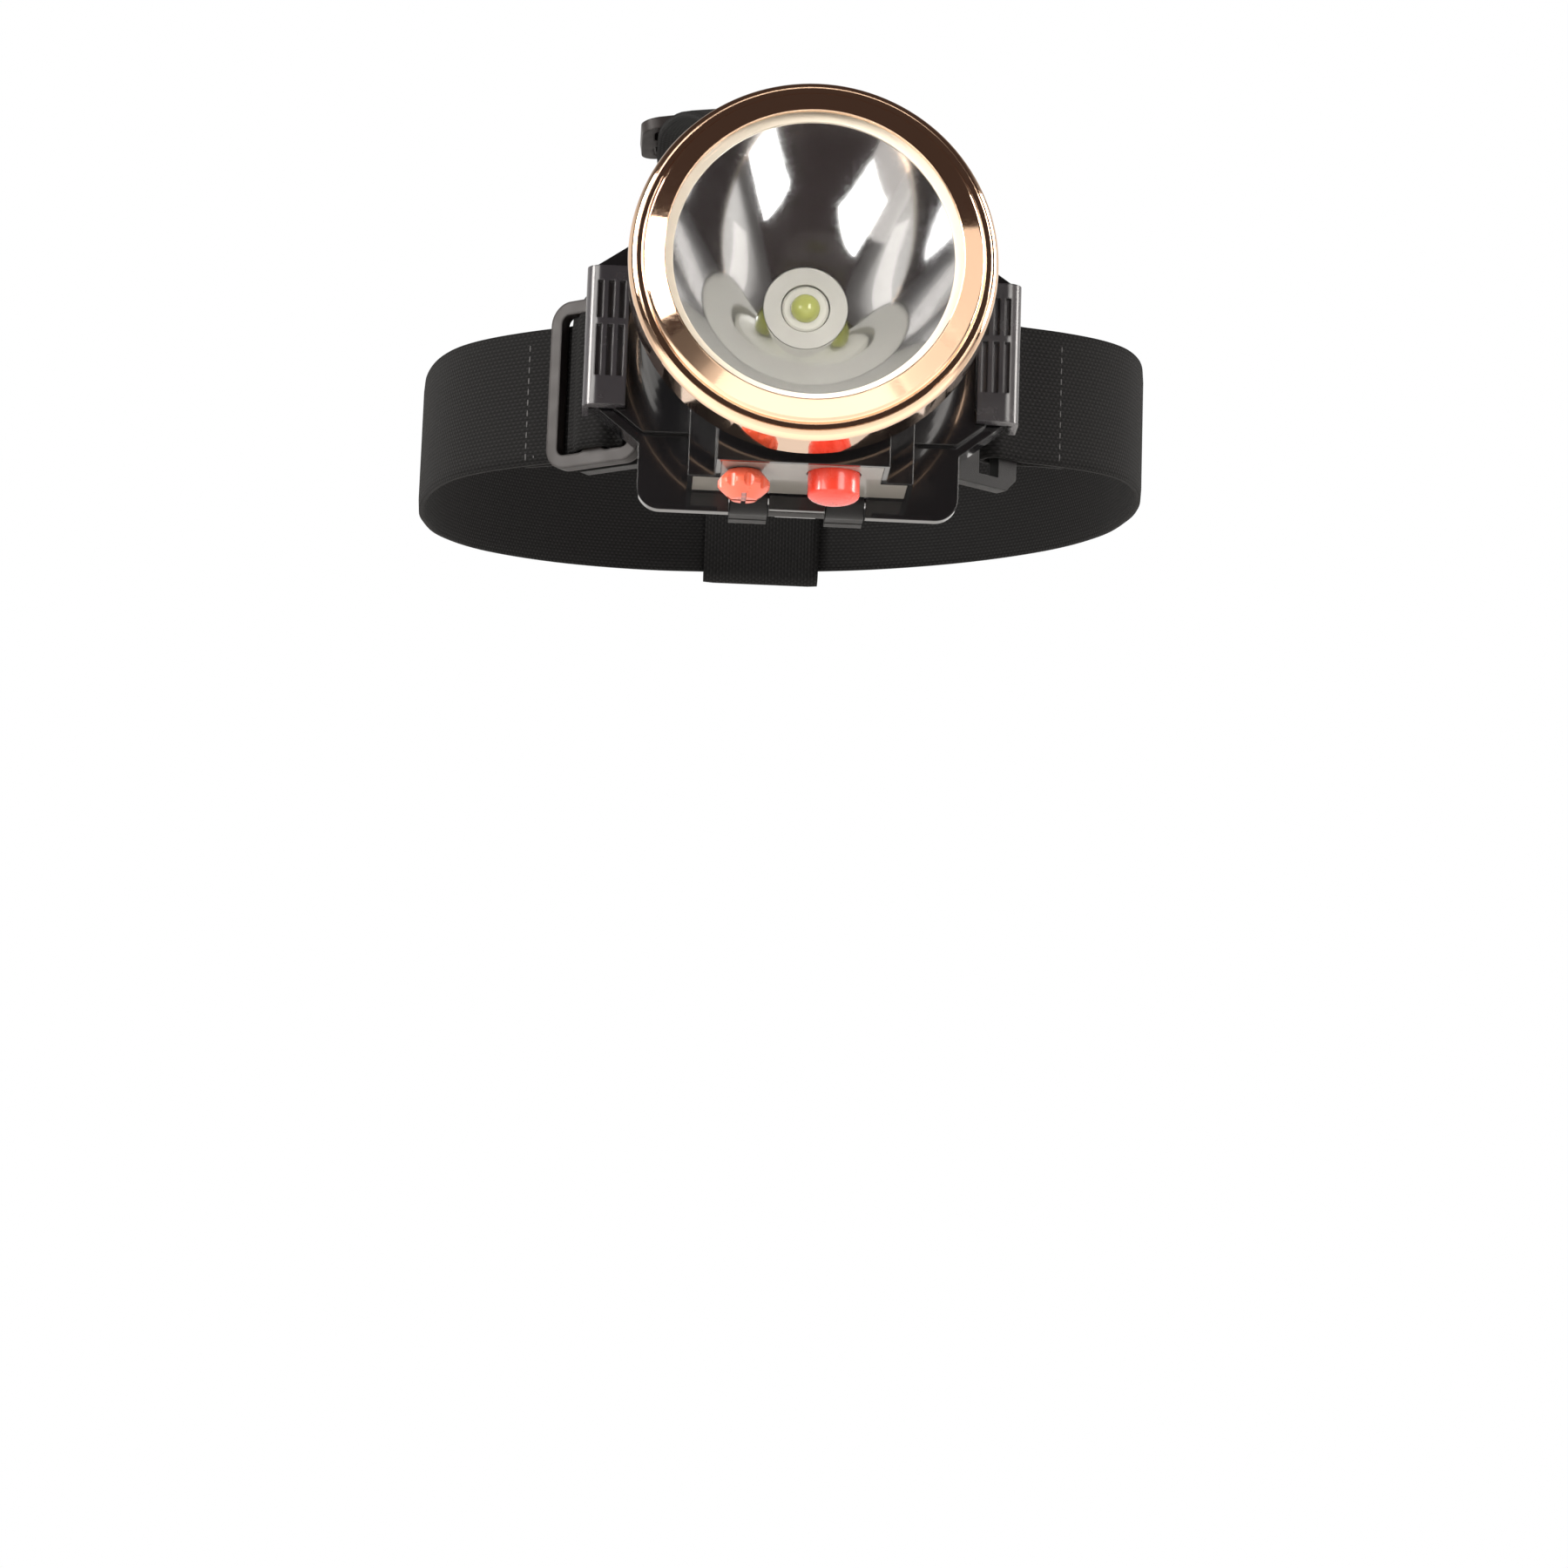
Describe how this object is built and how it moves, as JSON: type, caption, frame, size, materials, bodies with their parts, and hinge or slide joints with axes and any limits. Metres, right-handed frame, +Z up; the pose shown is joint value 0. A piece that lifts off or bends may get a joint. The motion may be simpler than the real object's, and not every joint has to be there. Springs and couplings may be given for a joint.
{
  "type": "headlamp",
  "caption": "Tilting LED headlamp with a round chromed bezel, a dimmer knob and a push button, on an elastic headband with a crown strap.",
  "frame": {"origin": "middle of the rear face of the forehead pad, where it rests on the forehead", "axes": "+X to the right of someone facing the lens, +Y backward through the wearer's head (the lens looks along -Y), +Z up"},
  "size_m": [0.138, 0.2272, 0.1044],
  "materials": {
    "black_nylon": "satin",
    "pad_foam": "soft foam",
    "webbing": "woven elastic",
    "pin_steel": "satin",
    "spring_steel": "satin",
    "screw_steel": "satin",
    "slider_plastic": "satin",
    "gloss_black": "high gloss",
    "smoke_rubber": "satin",
    "seal_rubber": "matte",
    "rose_chrome": "rose gold mirror plating",
    "clear_lens": "clear",
    "cream_gasket": "matte",
    "mirror": "vacuum metallised",
    "white_plastic": "matte",
    "ceramic_white": "matte",
    "led_silicone": "clear over yellow phosphor",
    "white_board": "solder mask",
    "sink_aluminium": "turned",
    "grey_panel": "gloss",
    "green_board": "solder mask",
    "component_black": "matte",
    "component_blue": "matte",
    "red_button": "gloss",
    "coral_knob": "gloss",
    "cell_foil": "foil pouch",
    "tape": "polyimide tape",
    "red_wire": "insulation",
    "white_wire": "insulation"
  },
  "bodies": {
    "base": {"base_plate": "black_nylon", "forehead_pad": "pad_foam", "headband": "webbing", "crown_strap": "webbing", "tilt_pin": "pin_steel", "detent_spring": "spring_steel", "detent_screw": "screw_steel"},
    "lamp": {"rear_shell": "gloss_black", "front_cover": "gloss_black", "left_grip": "smoke_rubber", "right_grip": "smoke_rubber", "housing_seal": "seal_rubber", "housing_screws": "screw_steel", "lamp_housing": "gloss_black", "lamp_screws": "screw_steel", "bezel": "rose_chrome", "lens": "clear_lens", "lens_gasket": "cream_gasket", "reflector": "mirror", "led_insulator": "white_plastic", "led_emitter": "ceramic_white", "led_dome": "led_silicone", "led_board": "white_board", "board_screws": "screw_steel", "heatsink": "sink_aluminium", "control_panel": "grey_panel", "control_board": "green_board", "board_parts": "component_black", "power_switch": "component_black", "dimmer_pot": "component_blue", "battery": "cell_foil", "battery_tape": "tape", "battery_leads": "red_wire", "led_leads": "white_wire", "charge_board": "green_board", "charge_socket": "pin_steel"},
    "side_adjuster": {"side_slider": "slider_plastic", "side_slider_webbing": "webbing"},
    "crown_adjuster": {"crown_slider": "slider_plastic", "crown_slider_webbing": "webbing"},
    "power_key": {"power_button": "red_button", "switch_plunger": "component_black"},
    "dimmer": {"dimmer_knob": "coral_knob", "dimmer_shaft": "sink_aluminium"}
  },
  "joints": [
    {"name": "lamp_tilt", "type": "hinge", "parent": "base", "child": "lamp", "pos_m": [0, -0.011, -0.026], "axis": [1, 0, 0], "range_deg": [0, 60]},
    {"name": "power_press", "type": "slide", "parent": "lamp", "child": "power_key", "axis": [0, 0, 1], "range_m": [0, 0.0012], "stiffness_N_per_m": 1200, "springref_m": -0.0004},
    {"name": "dimmer_turn", "type": "hinge", "parent": "lamp", "child": "dimmer", "pos_m": [-0.0096, -0.029, -0.026], "axis": [0, 0, 1], "range_deg": [0, 270]},
    {"name": "side_slider_slide", "type": "slide", "parent": "base", "child": "side_adjuster", "axis": [-0.809, 0.5878, 0], "range_m": [0, 0.008]},
    {"name": "crown_slider_slide", "type": "slide", "parent": "base", "child": "crown_adjuster", "axis": [0, 0.9996, 0.028], "range_m": [-0.008, 0.008]}
  ]
}
